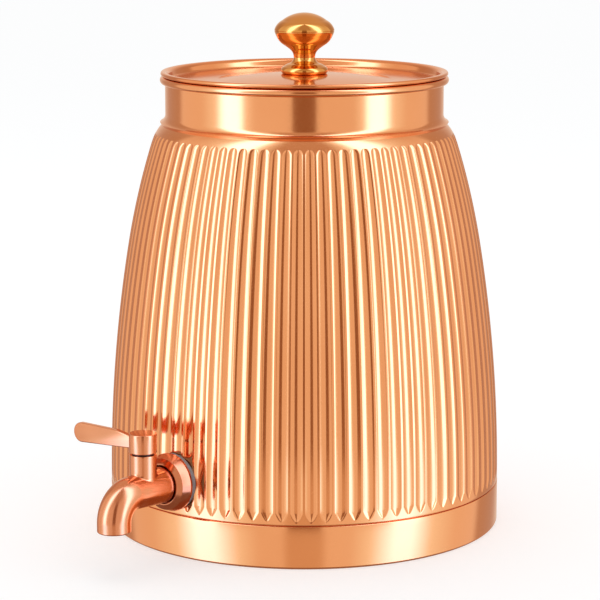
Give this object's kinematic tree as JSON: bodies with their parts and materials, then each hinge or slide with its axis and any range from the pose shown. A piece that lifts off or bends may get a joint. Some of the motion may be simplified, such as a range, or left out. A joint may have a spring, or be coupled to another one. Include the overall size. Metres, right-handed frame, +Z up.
{
  "type": "water dispenser",
  "caption": "Fluted copper water barrel on a foot band, with a quarter-turn tap low on the front and a loose pan lid with a turned brass knob.",
  "frame": {"origin": "centre of the foot band's resting face, on the floor", "axes": "+Z up along the barrel's axis; -Y towards the tap; +X to the right of someone who faces the tap"},
  "size_m": [0.24, 0.2993, 0.3129],
  "materials": {
    "copper_body": "polished copper",
    "copper_tap": "satin copper plate",
    "brass_polished": "mirror-polished brass",
    "brass_plain": "turned brass",
    "steel": "plain steel",
    "silicone_grey": "matte silicone",
    "rubber_black": "matte rubber",
    "ptfe": "plain PTFE"
  },
  "bodies": {
    "vessel": {"barrel_shell": "copper_body", "bottom_disc": "copper_body", "base_band": "copper_body", "tap_body": "copper_tap", "tap_flange": "copper_tap", "outer_gasket": "silicone_grey", "inner_gasket": "silicone_grey", "inner_washer": "steel", "lock_nut": "brass_plain", "port_seal": "ptfe", "seat_sleeve": "brass_plain", "stem_washer": "ptfe", "gland_nut": "brass_plain"},
    "lever": {"valve_plug": "brass_plain", "plug_orings": "rubber_black", "lever_cap": "copper_tap", "lever_blade": "copper_tap", "lever_screw": "steel"},
    "lid": {"lid_pan": "copper_body", "lid_skirt": "copper_body", "knob": "brass_polished", "knob_screw": "steel", "knob_washer": "steel"}
  },
  "joints": [
    {"name": "lever_turn", "type": "hinge", "parent": "vessel", "child": "lever", "pos_m": [0, -0.1448, 0.0456], "axis": [0, 0, 1], "range_deg": [0, 90]},
    {"name": "lid_lift", "type": "slide", "parent": "vessel", "child": "lid", "axis": [0, 0, 1], "range_m": [0, 0.12]}
  ]
}
